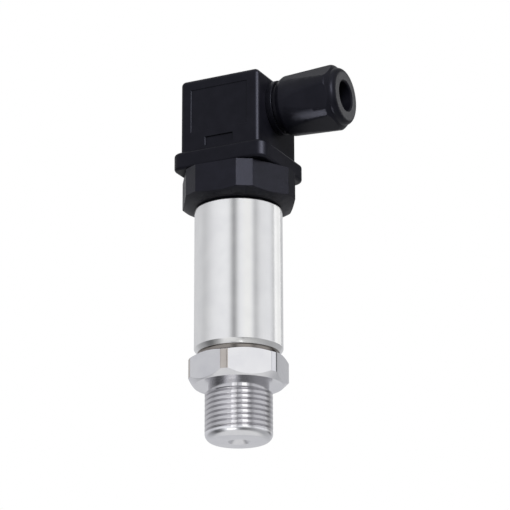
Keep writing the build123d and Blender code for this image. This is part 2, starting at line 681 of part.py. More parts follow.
def terminal_screw():
    """Slotted clamp screw along +X."""
    head_bottom = CLAMP_TOP + TERMINAL_HEAD_GAP
    body = disc(TERMINAL_SCREW_R, CLAMP_TOP - TERMINAL_SCREW_DEPTH, head_bottom)
    body += disc(TERMINAL_HEAD_R, head_bottom, head_bottom + TERMINAL_HEAD_HEIGHT)
    slot_bottom = head_bottom + TERMINAL_HEAD_HEIGHT - SCREW_SLOT_DEPTH
    body -= brick((SCREW_SLOT_WIDTH, 2 * TERMINAL_HEAD_R, SCREW_SLOT_DEPTH), (0, 0), slot_bottom)
    return Pos(BLADE_CIRCLE_R, 0, 0) * body


def terminal_screws():
    """The four clamp screws."""
    return Part() + [turn * terminal_screw() for turn in around(4)]


def retaining_screw():
    """Long slotted screw down through the plug into the base's bush."""
    body = turned(
        [(0, SCREW_TIP), (SCREW_R, SCREW_TIP), (SCREW_R, SCREW_HEAD_BOTTOM),
         (SCREW_HEAD_R, SCREW_HEAD_BOTTOM), (SCREW_HEAD_R, SCREW_HEAD_TOP), (0, SCREW_HEAD_TOP)],
        rounds=[(1, SCREW_TIP_ROUND), (4, SCREW_HEAD_ROUND)],
    )
    slot_bottom = SCREW_HEAD_TOP - SCREW_SLOT_DEPTH
    return body - brick((2 * SCREW_HEAD_R, SCREW_SLOT_WIDTH, SCREW_SLOT_DEPTH), (0, 0), slot_bottom)


def screw_seal():
    """Flat rubber washer under the retaining screw's head."""
    return ring(SCREW_SEAL_R, SCREW_R + SCREW_CLEARANCE, SCREW_SEAT, SCREW_HEAD_BOTTOM)


def gland_grommet():
    """Rubber sleeve that grips the cable, with grooves round its outside."""
    outer = SPOUT_BORE_R - GROMMET_FIT
    body = ring(outer, GROMMET_HOLE_R, GROMMET_START, GROMMET_END)
    for number in range(GROMMET_GROOVES):
        middle = GROMMET_START + GROMMET_LENGTH * (number + 1) / (GROMMET_GROOVES + 1)
        body -= ring(outer, outer - GROMMET_GROOVE, middle - GROMMET_GROOVE, middle + GROMMET_GROOVE)
    return gland_solid(body)


def thrust_ring():
    """Plain ring between the grommet and the nut."""
    outer = SPOUT_R + NUT_THREAD_FIT - THRUST_RING_FIT
    start = GROMMET_END + GLAND_FACE_GAP
    return gland_solid(ring(outer, GLAND_THROAT_R, start, THRUST_RING_END))


def gland_nut():
    """Tapered hexagonal nut: round at its inner end, six flats that widen outwards, round nose."""
    body = turned(
        [(0, NUT_START), (NUT_ENTRY_R, NUT_START), (NUT_SMALL_R, NUT_START + NUT_ENTRY_LENGTH),
         (NUT_LARGE_R, NUT_HEX_END), (NUT_NOSE_R, NUT_NOSE_START), (0, NUT_NOSE_START)],
        rounds=[(2, NUT_ENTRY_LENGTH), (3, NUT_SHOULDER)],
    )
    body &= hexagon(NUT_ACROSS_FLATS, NUT_TURN, NUT_START, NUT_NOSE_START)
    body += turned(
        [(0, NUT_HEX_END), (NUT_NOSE_R, NUT_HEX_END), (NUT_NOSE_R, NUT_END), (0, NUT_END)],
        rounds=[(2, NUT_NOSE_ROUND)],
    )
    thread = disc(SPOUT_R + NUT_THREAD_FIT, NUT_START, THRUST_RING_END + GLAND_FACE_GAP)
    mouth = NUT_BORE_R + NUT_BORE_ROUND
    bore = turned(
        [(0, NUT_START), (NUT_BORE_R, NUT_START), (NUT_BORE_R, NUT_END - NUT_BORE_ROUND), (mouth, NUT_END),
         (0, NUT_END)]
    )
    return gland_solid(body - thread - bore)


PIECES = {
    "process_port": process_port,
    "sensor_cell": sensor_cell,
    "cell_seal": cell_seal,
    "cell_pins": cell_pins,
    "cell_lock_ring": cell_lock_ring,
    "compensation_board": compensation_board,
    "link_pins": link_pins,
    "board_carrier": board_carrier,
    "amplifier_board": amplifier_board,
    "board_components": board_components,
    "trim_potentiometers": trim_potentiometers,
    "lead_wires": lead_wires,
    "housing_tube": housing_tube,
    "tube_seal": tube_seal,
    "connector_base": connector_base,
    "screw_bush": screw_bush,
    "contact_blades": contact_blades,
    "earth_blade": earth_blade,
    "profile_gasket": profile_gasket,
    "plug_housing": plug_housing,
    "terminal_block": terminal_block,
    "terminal_clamps": terminal_clamps,
    "terminal_screws": terminal_screws,
    "retaining_screw": retaining_screw,
    "screw_seal": screw_seal,
    "gland_grommet": gland_grommet,
    "thrust_ring": thrust_ring,
    "gland_nut": gland_nut,
}

os.makedirs("parts", exist_ok=True)
for name, make in PIECES.items():
    export_step(make(), f"parts/{name}.step")
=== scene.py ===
import json
from math import cos, hypot, pi, radians, sin, tan, tau

import bpy
from mathutils import Matrix, Vector


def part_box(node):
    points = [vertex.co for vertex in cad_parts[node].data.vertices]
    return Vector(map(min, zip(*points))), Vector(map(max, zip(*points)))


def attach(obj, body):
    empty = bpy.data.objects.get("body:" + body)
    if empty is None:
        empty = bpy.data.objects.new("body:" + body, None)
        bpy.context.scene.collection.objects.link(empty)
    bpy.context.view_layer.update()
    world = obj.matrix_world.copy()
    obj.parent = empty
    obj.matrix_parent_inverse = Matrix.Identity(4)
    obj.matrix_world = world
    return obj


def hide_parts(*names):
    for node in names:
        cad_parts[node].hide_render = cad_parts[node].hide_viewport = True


# A stainless steel pressure transmitter with a black angled plug and cable gland, seen from
# below against white. The solids come from the frame. This script gives them their finishes,
# cuts the three threads and breaks the edges that a maker breaks.

MM = 0.001

# Process connection, as the frame has it: the shank is plain there and is threaded here
THREAD_R = 10.0 * MM
THREAD_PITCH = 1.5 * MM
THREAD_DEPTH = 0.46 * MM
THREAD_START = 2.4 * MM
THREAD_END = 14.3 * MM
THREAD_RUNOUT = 0.3 * MM
THREAD_LEAD_IN = 0.9 * MM
THREAD_STEPS = 160
# One tooth's shape as (share of the pitch, share of the depth): a sharp groove and a wide crest
THREAD_FLANK = [(0, 0), (0.03, 0.04), (0.19, 0.9), (0.24, 0.98), (0.3, 1)]
# The turns start so far below that no ring of corners lies in the plane of either cut
TURNS_BELOW_START = 2.37
END_ROUND = 2.4 * MM
END_ROUND_STEPS = 10
NECK_R = 9.0 * MM
HEX_BOTTOM = 16.7 * MM
SPLIT_BELOW_HEX = 0.02 * MM
INLET_R = 1.5 * MM
INLET_MOUTH_R = 3.2 * MM
INLET_MOUTH_DEPTH = 2.0 * MM

# Where the hexagon's turned-off corners lie, and the band of the groove under the tube that gets
# painted shade
HEX_LAND_R = 14.6 * MM
UPRIGHT = 0.2
# Corner lands whose middle lies below this x, away from the gland, get painted shade
SHADED_LAND_END_X = 12.0 * MM
GROOVE_SHADE_LOW = 25.08 * MM
GROOVE_SHADE_HIGH = 26.52 * MM

# Broken edges, and the distances and angles that clean and shade a mesh
STEEL_EDGE = 0.12 * MM
BASE_EDGE = 0.25 * MM
PLUG_EDGE = 0.2 * MM
NUT_EDGE = 0.3 * MM
SCREW_EDGE = 0.05 * MM
NUT_CORNER = 0.95 * MM
EDGE_SEGMENTS = 3
ALONG_X = 0.9
MERGE = 0.001 * MM
RIM_MERGE = 0.028 * MM
RIM_REACH = 0.005 * MM
CUT = 0.0001 * MM
FLAT_ANGLE = radians(0.6)
SHARP_ANGLE = radians(28)
FLAT_FACE_WEIGHT = 90

# Gland spout and retaining screw: plain in the frame, and their threads are cut here
GLAND_Z = 101.9 * MM
SPOUT_R = 7.6 * MM
SPOUT_THREAD_START = 16.3 * MM
SPOUT_THREAD_LENGTH = 9.4 * MM
SPOUT_THREAD_PITCH = 1.41 * MM
SPOUT_THREAD_DEPTH = 0.75 * MM
SCREW_R = 1.5 * MM
SCREW_THREAD_LENGTH = 13.0 * MM
SCREW_THREAD_PITCH = 0.5 * MM
SCREW_THREAD_DEPTH = 0.26 * MM
CUTTER_PROUD = 0.12 * MM
CUTTER_STEPS = 48
THREAD_HALF_ANGLE = radians(30)

# Values between which a noise pattern mostly stays
PATTERN_LOW = 0.3
PATTERN_HIGH = 0.7

# Camera, matched to the photograph: place, direction and lens
CAMERA_PLACE = Vector((307.23, -605.21, -168.32)) * MM
CAMERA_TURN = radians(26.501)
CAMERA_RISE = radians(18.390)
CAMERA_ROLL = radians(-0.206)
CAMERA_LENS = 169.25
CAMERA_SENSOR = 36.0
CAMERA_NEAR = 10 * MM

# Studio: floor sizes in metres, where the lamps stand, and the level that lights dull surfaces
FLOOR_DROP = 0.26
FLOOR_CLEAR_R = 0.75
FLOOR_FADE_R = 1.3
FLOOR_SIZE = 3.2
LAMP_AIM = Vector((0, 0, 60)) * MM
LAMP_DISTANCE = 1.1
PLAIN_LEVEL = 0.72

# Brightness of the studio's surround by azimuth in degrees, where 0 is +X: white walls with the
# soft dark gaps that the metal mirrors as upright bands
SURROUND = [
    (-180, 0.72), (-168, 0.66), (-155, 0.68), (-135, 0.86), (-100, 0.96), (-86, 0.86),
    (-75, 0.30), (-64, 0.85), (-50, 1.0), (-30, 1.0), (-20, 0.55), (-8, 0.80), (10, 0.88),
    (30, 0.84), (46, 0.34), (60, 0.06), (72, 0.14), (86, 0.60), (110, 0.62), (150, 0.70),
    (180, 0.72),
]
# The same for what is mirrored from below, where the studio's table and its dark edges are
SURROUND_LOW = [
    (-180, 0.40), (-160, 0.22), (-146, 0.14), (-122, 0.40), (-104, 1.1), (-88, 1.25),
    (-74, 0.80), (-58, 0.30), (-42, 0.22), (-22, 0.30), (5, 0.42), (50, 0.45), (110, 0.62),
    (150, 0.62), (180, 0.40),
]
SURROUND_UNDER = 0.78
# Slightly cool, as the photograph's greys are
SURROUND_TINT = (0.985, 0.99, 1.02)
# Heights of a direction, -1 straight down to 1 straight up, between which the levels fade
UNDER_TO_LOW = (-0.85, -0.55)
LOW_TO_WALLS = (-0.25, 0.05)

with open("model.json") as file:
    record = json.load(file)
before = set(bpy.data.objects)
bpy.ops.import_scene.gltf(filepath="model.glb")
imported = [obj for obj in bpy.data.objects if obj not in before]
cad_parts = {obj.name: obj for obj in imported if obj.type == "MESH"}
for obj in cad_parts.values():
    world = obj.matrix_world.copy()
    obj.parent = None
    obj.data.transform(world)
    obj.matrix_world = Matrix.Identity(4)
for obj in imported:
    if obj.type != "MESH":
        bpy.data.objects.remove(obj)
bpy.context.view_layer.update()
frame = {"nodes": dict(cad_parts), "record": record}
nodes = frame["nodes"]


def linear(code):
    """Linear colour of an sRGB hex value such as 'C8C9CC'."""
    channels = [int(code[place:place + 2], 16) / 255 for place in (0, 2, 4)]
    curve = [c / 12.92 if c <= 0.04045 else ((c + 0.055) / 1.055) ** 2.4 for c in channels]
    return (*curve, 1.0)


def per(size_mm):
    """Texture scale that gives one period in this many millimetres of Object coordinates."""
    return 1000.0 / size_mm


def add(tree, kind, settings, sockets):
    """Adds a node with its settings; a socket's value is set, or linked where it is an output."""
    node = tree.nodes.new(kind)
    for name, value in settings.items():
        setattr(node, name, value)
    for name, value in sockets.items():
        if isinstance(value, bpy.types.NodeSocket):
            tree.links.new(value, node.inputs[name])
        else:
            node.inputs[name].default_value = value
    return node


def new_material(name):
    """Empty material with its tree, shader and Object coordinates."""
    material = bpy.data.materials.new(name)
    material.use_nodes = True
    tree = material.node_tree
    tree.nodes.clear()
    shader = add(tree, "ShaderNodeBsdfPrincipled", {}, {})
    add(tree, "ShaderNodeOutputMaterial", {}, {"Surface": shader.outputs[0]})
    place = add(tree, "ShaderNodeTexCoord", {}, {}).outputs["Object"]
    return material, tree, shader, place


def tones(tree, pattern, dark, light):
    """Colour that runs between two hex tones with a pattern."""
    spread = add(
        tree, "ShaderNodeMapRange", {},
        {"Value": pattern, "From Min": PATTERN_LOW, "From Max": PATTERN_HIGH},
    )
    mix = add(
        tree, "ShaderNodeMix", {"data_type": "RGBA"},
        {0: spread.outputs[0], 6: linear(dark), 7: linear(light)},
    )
    return mix.outputs[2]


def tinted(tree, place, colour, low, high, tint):
    """Another colour between two heights of the piece."""
    height = add(tree, "ShaderNodeSeparateXYZ", {}, {0: place}).outputs["Z"]
    above = add(tree, "ShaderNodeMath", {"operation": "GREATER_THAN"}, {0: height, 1: low})
    below = add(tree, "ShaderNodeMath", {"operation": "LESS_THAN"}, {0: height, 1: high})
    inside = add(
        tree, "ShaderNodeMath", {"operation": "MULTIPLY"},
        {0: above.outputs[0], 1: below.outputs[0]},
    )
    mix = add(
        tree, "ShaderNodeMix", {"data_type": "RGBA"},
        {0: inside.outputs[0], 6: colour, 7: linear(tint)},
    )
    return mix.outputs[2]


def dress(tree, shader, colour, wear, rough, height, strength, depth_mm):
    """Gives a shader its colour, a roughness that the wear pattern runs between two values, and
    the fine relief of a height pattern."""
    gloss = add(
        tree, "ShaderNodeMapRange", {}, {"Value": wear, "To Min": rough[0], "To Max": rough[1]}
    )
    bump = add(
        tree, "ShaderNodeBump", {},
        {"Height": height, "Strength": strength, "Distance": depth_mm * MM},
    )
    tree.links.new(colour, shader.inputs["Base Color"])
    tree.links.new(gloss.outputs[0], shader.inputs["Roughness"])
    tree.links.new(bump.outputs[0], shader.inputs["Normal"])


def moulded_polyamide(name, dark, light, rough, grain_mm, pit_mm):
    """Glass-filled polyamide moulded in a spark-eroded tool: near black and dull, with an even
    pitted grain and faint paler clouds where the glass comes near the skin. The grain of a real
    tool is about 0.06 mm and is drawn coarser so that it shows."""
    material, tree, shader, place = new_material(name)
    grain = add(
        tree, "ShaderNodeTexNoise", {}, {"Vector": place, "Scale": per(grain_mm), "Detail": 3.0}
    ).outputs["Fac"]
    clouds = add(
        tree, "ShaderNodeTexNoise", {}, {"Vector": place, "Scale": per(3.5), "Detail": 5.0}
    ).outputs["Fac"]
    colour = tones(tree, clouds, dark, light)
    dress(tree, shader, colour, grain, rough, grain, strength=0.8, depth_mm=pit_mm)
    shader.inputs["IOR"].default_value = 1.53
    shader.inputs["Specular IOR Level"].default_value = 0.15
    shader.inputs["Specular Tint"].default_value = linear("E4E6FF")
    return material


def turned_steel(name, dark, light, rough, feed_mm, groove_shade=None):
    """Austenitic stainless steel, turned: bright and cool grey, with the tool's feed lines round
    the axis. A finishing cut feeds about 0.08 mm a turn, drawn coarser so that it shows. The
    optional band, given as (lowest, highest, colour), is painted shade: a darker warm grey between
    those heights, where the groove between the hexagon and the tube lies in shade."""
    material, tree, shader, place = new_material(name)
    lines = add(
        tree, "ShaderNodeTexWave", {"wave_type": "BANDS", "bands_direction": "Z"},
        {"Vector": place, "Scale": per(feed_mm) / tau, "Distortion": 0.6, "Detail": 2.0,
         "Detail Scale": 4.0},
    ).outputs["Fac"]
    patches = add(
        tree, "ShaderNodeTexNoise", {}, {"Vector": place, "Scale": per(6.0), "Detail": 4.0}
    ).outputs["Fac"]
    colour = tones(tree, patches, dark, light)
    if groove_shade:
        colour = tinted(tree, place, colour, *groove_shade)
    dress(tree, shader, colour, patches, rough, lines, strength=0.1, depth_mm=0.01)
    shader.inputs["Metallic"].default_value = 1.0
    return material


def moulded_rubber(name, dark, light, rough):
    """Nitrile rubber, moulded: black, matt and a little dusty, with a soft uneven skin."""
    material, tree, shader, place = new_material(name)
    skin = add(
        tree, "ShaderNodeTexNoise", {}, {"Vector": place, "Scale": per(0.5), "Detail": 4.0}
    ).outputs["Fac"]
    dust = add(
        tree, "ShaderNodeTexNoise", {}, {"Vector": place, "Scale": per(2.5), "Detail": 3.0}
    ).outputs["Fac"]
    colour = tones(tree, dust, dark, light)
    dress(tree, shader, colour, skin, rough, skin, strength=0.3, depth_mm=0.05)
    shader.inputs["IOR"].default_value = 1.52
    shader.inputs["Specular IOR Level"].default_value = 0.3
    return material


def plated_metal(name, dark, light, rough):
    """Plated or machined small metal part: bright, with slight stains and fine scratches."""
    material, tree, shader, place = new_material(name)
    stains = add(
        tree, "ShaderNodeTexNoise", {}, {"Vector": place, "Scale": per(2.0), "Detail": 5.0}
    ).outputs["Fac"]
    scratches = add(
        tree, "ShaderNodeTexNoise", {},
        {"Vector": place, "Scale": per(0.3), "Detail": 2.0, "Roughness": 0.7},
    ).outputs["Fac"]
    colour = tones(tree, stains, dark, light)
    dress(tree, shader, colour, stains, rough, scratches, strength=0.1, depth_mm=0.01)
    shader.inputs["Metallic"].default_value = 1.0
    return material


def plain_dielectric(name, dark, light, rough, grain_mm, ior):
    """Board laminate, ceramic, epoxy or wire insulation: one hue with a fine mottle."""
    material, tree, shader, place = new_material(name)
    mottle = add(
        tree, "ShaderNodeTexNoise", {}, {"Vector": place, "Scale": per(grain_mm), "Detail": 4.0}
    ).outputs["Fac"]
    colour = tones(tree, mottle, dark, light)
    dress(tree, shader, colour, mottle, rough, mottle, strength=0.15, depth_mm=0.02)
    shader.inputs["IOR"].default_value = ior
    return material


def finish(piece, material):
    """One material on the whole piece."""
    piece.data.materials.clear()
    piece.data.materials.append(material)


def select_only(piece):
    """Selects one object and makes it active."""
    bpy.ops.object.select_all(action="DESELECT")
    piece.select_set(True)
    bpy.context.view_layer.objects.active = piece


def edit(piece, mode="VERT"):
    """Opens a piece in edit mode with nothing selected."""
    select_only(piece)
    bpy.ops.object.mode_set(mode="EDIT")
    bpy.ops.mesh.select_mode(type=mode)
    bpy.ops.mesh.select_all(action="DESELECT")


def close_edit():
    """Back to object mode."""
    bpy.ops.object.mode_set(mode="OBJECT")


def apply_modifiers(piece):
    """Applies every modifier in order."""
    select_only(piece)
    for modifier in list(piece.modifiers):
        bpy.ops.object.modifier_apply(modifier=modifier.name)


def smooth(piece):
    """Smooth shading with the sharp edges kept."""
    select_only(piece)
    bpy.ops.object.shade_smooth_by_angle(angle=SHARP_ANGLE)


def copied(node, name):
    """Merged copy of a frame node under its own name."""
    piece = nodes[node].copy()
    piece.data = nodes[node].data.copy()
    piece.name = name
    piece.data.name = name
    piece.parent = None
    piece.matrix_world = Matrix.Identity(4)
    for key in [key for key in piece.keys() if key.startswith("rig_")]:
        del piece[key]
    bpy.context.scene.collection.objects.link(piece)
    if piece.data.has_custom_normals:
        select_only(piece)
        bpy.ops.mesh.customdata_custom_splitnormals_clear()
    edit(piece)
    bpy.ops.mesh.select_all(action="SELECT")
    bpy.ops.mesh.remove_doubles(threshold=MERGE)
    bpy.ops.mesh.dissolve_limited(angle_limit=FLAT_ANGLE)
    close_edit()
    return piece


def weigh_outer_edges(piece):
    """Full bevel weight on every sharp edge that stands out, none in the inside corners."""
    mesh = piece.data
    sides = {}
    for face in mesh.polygons:
        corners = list(face.vertices)
        for start, end in zip(corners, corners[1:] + corners[:1]):
            inward = face.normal.cross(mesh.vertices[end].co - mesh.vertices[start].co)
            key = (min(start, end), max(start, end))
            sides.setdefault(key, []).append((face.normal.copy(), inward))
    weights = mesh.attributes.new("bevel_weight_edge", "FLOAT", "EDGE")
    for edge in mesh.edges:
        pair = sides.get(edge.key, [])
        if len(pair) == 2:
            (normal, inward), (other, _) = pair
            outer = other.dot(inward) < 0 and normal.angle(other, 0.0) > SHARP_ANGLE
            weights.data[edge.index].value = 1.0 if outer else 0.0


def break_edges(piece, width, lengthwise=None):
    """Rounds every sharp outer edge and keeps the flats flat. Edges along X may be wider."""
    weigh_outer_edges(piece)
    if lengthwise:
        mesh = piece.data
        weights = mesh.attributes["bevel_weight_edge"]
        for edge in mesh.edges:
            start, end = (mesh.vertices[v].co for v in edge.vertices)
            if abs((end - start).normalized().x) <= ALONG_X:
                weights.data[edge.index].value *= width / lengthwise
        width = lengthwise
    bevel = piece.modifiers.new("broken_edges", "BEVEL")
    bevel.width = width
    bevel.segments = EDGE_SEGMENTS
    bevel.limit_method = "WEIGHT"
    bevel.use_clamp_overlap = True
    bevel.miter_outer = "MITER_ARC"
    apply_modifiers(piece)
    shade(piece)


def shade(piece):
    """Smooth shading that keeps the sharp edges sharp and the flats flat."""
    smooth(piece)
    weighted = piece.modifiers.new("flat_faces", "WEIGHTED_NORMAL")
    weighted.keep_sharp = True
    weighted.weight = FLAT_FACE_WEIGHT
    apply_modifiers(piece)


def refinish(piece, material, chosen):
    """Second material on the faces that a test of their middle and normal chooses."""
    piece.data.materials.append(material)
    for face in piece.data.polygons:
        if chosen(face.center, face.normal):
            face.material_index = 1


def settle(piece, body, replaced, material):
    """Gives a finished piece its material and its body, and hides the frame node that it replaces.
    """
    finish(piece, material)
    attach(piece, body)
    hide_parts(replaced)


def traced(name, points):
    """Open chain of edges in the XZ plane through (radius, height) points."""
    bpy.ops.object.select_all(action="DESELECT")
    bpy.ops.mesh.primitive_plane_add(size=MM, location=(0, 0, 0))
    piece = bpy.context.object
    piece.name = name
    piece.data.name = name
    bpy.ops.object.mode_set(mode="EDIT")
    bpy.ops.mesh.select_mode(type="VERT")
    bpy.ops.mesh.select_all(action="SELECT")
    bpy.ops.mesh.merge(type="CENTER")
    bpy.ops.mesh.select_all(action="SELECT")
    bpy.ops.transform.translate(value=(points[0][0], 0, points[0][1]))
    for (r0, z0), (r1, z1) in zip(points, points[1:]):
        bpy.ops.mesh.extrude_region_move(TRANSFORM_OT_translate={"value": (r1 - r0, 0, z1 - z0)})
    close_edit()
    return piece


def select_rim(piece, height):
    """Selects the open edges that lie at a height, in edit mode."""
    close_edit()
    edit(piece, "EDGE")
    bpy.ops.mesh.select_non_manifold(
        use_wire=False, use_multi_face=False, use_non_contiguous=False, use_verts=False
    )
    close_edit()
    mesh = piece.data
    for edge in mesh.edges:
        ends = [mesh.vertices[v].co.z for v in edge.vertices]
        edge.select = edge.select and all(abs(z - height) < RIM_REACH for z in ends)
    chosen = {v for edge in mesh.edges if edge.select for v in edge.vertices}
    for vertex in mesh.vertices:
        vertex.select = vertex.index in chosen
    bpy.ops.object.mode_set(mode="EDIT")


def carry_rim(piece, radius, height, stations):
    """Extrudes a round rim through (radius, height) stations."""
    select_rim(piece, height)
    for next_radius, next_height in stations:
        step = (0, 0, next_height - height)
        ratio = next_radius / radius
        bpy.ops.mesh.extrude_region_move(TRANSFORM_OT_translate={"value": step})
        bpy.ops.transform.resize(value=(ratio, ratio, 1), center_override=(0, 0, 0))
        radius, height = next_radius, next_height
    close_edit()


def process_thread():
    """M20 x 1.5 shank with its rounded end, coned inlet and neck: one tooth is screwed round the
    axis, cut off flat at both ends, and its rims are carried on to the end face and the neck."""
    half = [(share, THREAD_R - THREAD_DEPTH * (1 - level)) for share, level in THREAD_FLANK]
    tooth = half + [(1 - share, radius) for share, radius in reversed(half)]
    first = THREAD_START - TURNS_BELOW_START * THREAD_PITCH
    outline = [(radius, first + share * THREAD_PITCH) for share, radius in tooth]
    shank = traced("process_thread", outline)
    screw = shank.modifiers.new("thread", "SCREW")
    screw.axis = "Z"
    screw.screw_offset = THREAD_PITCH
    screw.iterations = int((HEX_BOTTOM - first) / THREAD_PITCH) + 2
    screw.steps = THREAD_STEPS
    screw.render_steps = THREAD_STEPS
    apply_modifiers(shank)
    runout = THREAD_END + THREAD_RUNOUT
    edit(shank)
    bpy.ops.mesh.select_all(action="SELECT")
    bpy.ops.mesh.remove_doubles(threshold=MERGE)
    for height, side in ((THREAD_START, "clear_inner"), (runout, "clear_outer")):
        bpy.ops.mesh.select_all(action="SELECT")
        bpy.ops.mesh.bisect(
            plane_co=(0, 0, height), plane_no=(0, 0, 1), threshold=CUT, **{side: True}
        )
    bpy.ops.mesh.select_all(action="SELECT")
    bpy.ops.mesh.remove_doubles(threshold=MERGE)
    close_edit()
    steepness = (THREAD_R - NECK_R) / THREAD_RUNOUT
    for vertex in shank.data.vertices:
        x, y, z = vertex.co
        radius = hypot(x, y)
        share = min(1.0, max(0.0, (z - THREAD_START) / THREAD_LEAD_IN))
        wanted = THREAD_R - (THREAD_R - radius) * share * share * (3 - 2 * share)
        wanted = min(wanted, THREAD_R - max(0.0, z - THREAD_END) * steepness)
        vertex.co = (x * wanted / radius, y * wanted / radius, z)
    middle_r = THREAD_R - END_ROUND
    turns = [pi / 2 * step / END_ROUND_STEPS for step in range(1, END_ROUND_STEPS + 1)]
    rounding = [
        (middle_r + END_ROUND * cos(turn), END_ROUND - END_ROUND * sin(turn)) for turn in turns
    ]
    top = HEX_BOTTOM - SPLIT_BELOW_HEX
    inlet = [(INLET_MOUTH_R, 0.0), (INLET_R, INLET_MOUTH_DEPTH), (INLET_R, top)]
    carry_rim(shank, THREAD_R, THREAD_START, rounding + inlet)
    carry_rim(shank, NECK_R, runout, [(NECK_R, top), (INLET_R, top)])
    edit(shank)
    bpy.ops.mesh.select_all(action="SELECT")
    bpy.ops.mesh.remove_doubles(threshold=MERGE)
    # The two cuts cross the groove at different turns, so the rims that meet here differ by a few
    # corners, which the wider merge joins
    select_rim(shank, top)
    bpy.ops.mesh.remove_doubles(threshold=RIM_MERGE)
    bpy.ops.mesh.select_all(action="SELECT")
    bpy.ops.mesh.normals_make_consistent(inside=False)
    close_edit()
    smooth(shank)
    return shank


def thread_cutter(radius, depth, pitch, start, length):
    """Coil of a 60 degree V groove round Z, right-handed and closed at both ends."""
    half = (depth + CUTTER_PROUD) * tan(THREAD_HALF_ANGLE)
    outer = radius + CUTTER_PROUD
    corners = [(radius - depth, start), (outer, start + half), (outer, start - half)]
    coil = traced("thread_cutter", corners + corners[:1])
    edit(coil)
    bpy.ops.mesh.select_all(action="SELECT")
    bpy.ops.mesh.remove_doubles(threshold=MERGE)
    close_edit()
    screw = coil.modifiers.new("groove", "SCREW")
    screw.axis = "Z"
    screw.screw_offset = pitch
    screw.iterations = int(length / pitch)
    screw.steps = CUTTER_STEPS
    screw.render_steps = CUTTER_STEPS
    apply_modifiers(coil)
    edit(coil)
    bpy.ops.mesh.select_all(action="SELECT")
    bpy.ops.mesh.remove_doubles(threshold=CUT)
    bpy.ops.mesh.select_all(action="DESELECT")
    bpy.ops.mesh.select_non_manifold(
        use_wire=False, use_multi_face=False, use_non_contiguous=False, use_verts=False
    )
    bpy.ops.mesh.fill()
    bpy.ops.mesh.select_all(action="SELECT")
    bpy.ops.mesh.normals_make_consistent(inside=False)
    close_edit()
    return coil


def cut_away(piece, cutter):
    """Takes the cutter's shape out of a piece and shades it again."""
    groove = piece.modifiers.new("thread", "BOOLEAN")
    groove.operation = "DIFFERENCE"
    groove.solver = "EXACT"
    groove.object = cutter
    apply_modifiers(piece)
    bpy.data.objects.remove(cutter)
    shade(piece)


def cut_spout_thread(piece):
    """Thread for the gland nut on the plug's spout, along X."""
    cutter = thread_cutter(
        SPOUT_R, SPOUT_THREAD_DEPTH, SPOUT_THREAD_PITCH, SPOUT_THREAD_START, SPOUT_THREAD_LENGTH
    )
    edit(cutter)
    bpy.ops.mesh.select_all(action="SELECT")
    bpy.ops.transform.rotate(value=-pi / 2, orient_axis="Y", center_override=(0, 0, 0))
    bpy.ops.transform.translate(value=(0, 0, GLAND_Z))
    close_edit()
    cut_away(piece, cutter)


def long_screw():
    """Retaining screw with its fine thread up from the tip."""
    piece = softened("retaining_screw", "long_retaining_screw", SCREW_EDGE)
    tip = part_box("retaining_screw")[0][2]
    start = tip - SCREW_THREAD_PITCH
    cutter = thread_cutter(
        SCREW_R, SCREW_THREAD_DEPTH, SCREW_THREAD_PITCH, start, SCREW_THREAD_LENGTH
    )
    cut_away(piece, cutter)
    return piece


def process_hexagon():
    """The hexagon and spigot of the frame's port, cut off just under the hexagon."""
    piece = copied("process_port", "process_hexagon")
    cut = HEX_BOTTOM - SPLIT_BELOW_HEX
    edit(piece)
    bpy.ops.mesh.select_all(action="SELECT")
    bpy.ops.mesh.bisect(plane_co=(0, 0, cut), plane_no=(0, 0, 1), threshold=CUT, clear_inner=True)
    select_rim(piece, cut)
    bpy.ops.mesh.fill()
    bpy.ops.mesh.select_all(action="SELECT")
    bpy.ops.mesh.normals_make_consistent(inside=False)
    close_edit()
    break_edges(piece, STEEL_EDGE)
    return piece


def softened(node, name, width, lengthwise=None):
    """Copy of a frame node with its edges broken."""
    piece = copied(node, name)
    break_edges(piece, width, lengthwise)
    return piece


def camera():
    """Camera at the photograph's angle, looking up from below the sensor."""
    right = Vector((cos(CAMERA_TURN), sin(CAMERA_TURN), 0))
    level = cos(CAMERA_RISE)
    forward = Vector((-sin(CAMERA_TURN) * level, cos(CAMERA_TURN) * level, sin(CAMERA_RISE)))
    up = right.cross(forward)
    turn = Matrix((right, up, -forward)).transposed() @ Matrix.Rotation(CAMERA_ROLL, 3, "Z")
    data = bpy.data.cameras.new("camera")
    data.sensor_width = CAMERA_SENSOR
    data.lens = CAMERA_LENS
    data.clip_start = CAMERA_NEAR
    holder = bpy.data.objects.new("camera", data)
    holder.matrix_world = Matrix.Translation(CAMERA_PLACE) @ turn.to_4x4()
    bpy.context.scene.collection.objects.link(holder)
    bpy.context.scene.camera = holder


def lamp(name, azimuth, elevation, size, power, pieces):
    """Soft area light, (width, height) in size, that faces the middle of the object. As a
    photographer keeps it off the rest with flags, it is linked to the listed pieces only."""
    turn = radians(azimuth)
    rise = radians(elevation)
    side = Vector((cos(turn) * cos(rise), sin(turn) * cos(rise), sin(rise)))
    data = bpy.data.lights.new(name, "AREA")
    data.shape = "RECTANGLE"
    data.size, data.size_y = size
    data.energy = power
    holder = bpy.data.objects.new(name, data)
    holder.location = LAMP_AIM + side * LAMP_DISTANCE
    holder.rotation_euler = (-side).to_track_quat("-Z", "Y").to_euler()
    bpy.context.scene.collection.objects.link(holder)
    lit = bpy.data.collections.new(name + "_lit")
    for piece in pieces:
        lit.objects.link(piece)
    holder.light_linking.receiver_collection = lit


def surround_ramp(tree, share, levels):
    """Colour of the surround by azimuth."""
    ramp = add(tree, "ShaderNodeValToRGB", {}, {"Fac": share})
    ramp.color_ramp.interpolation = "CARDINAL"
    stops = ramp.color_ramp.elements
    for number, (azimuth, level) in enumerate(levels):
        at = (azimuth + 180) / 360
        stop = stops[number] if number < 2 else stops.new(at)
        stop.position = at
        stop.color = (*(level * part for part in SURROUND_TINT), 1)
    return ramp.outputs[0]


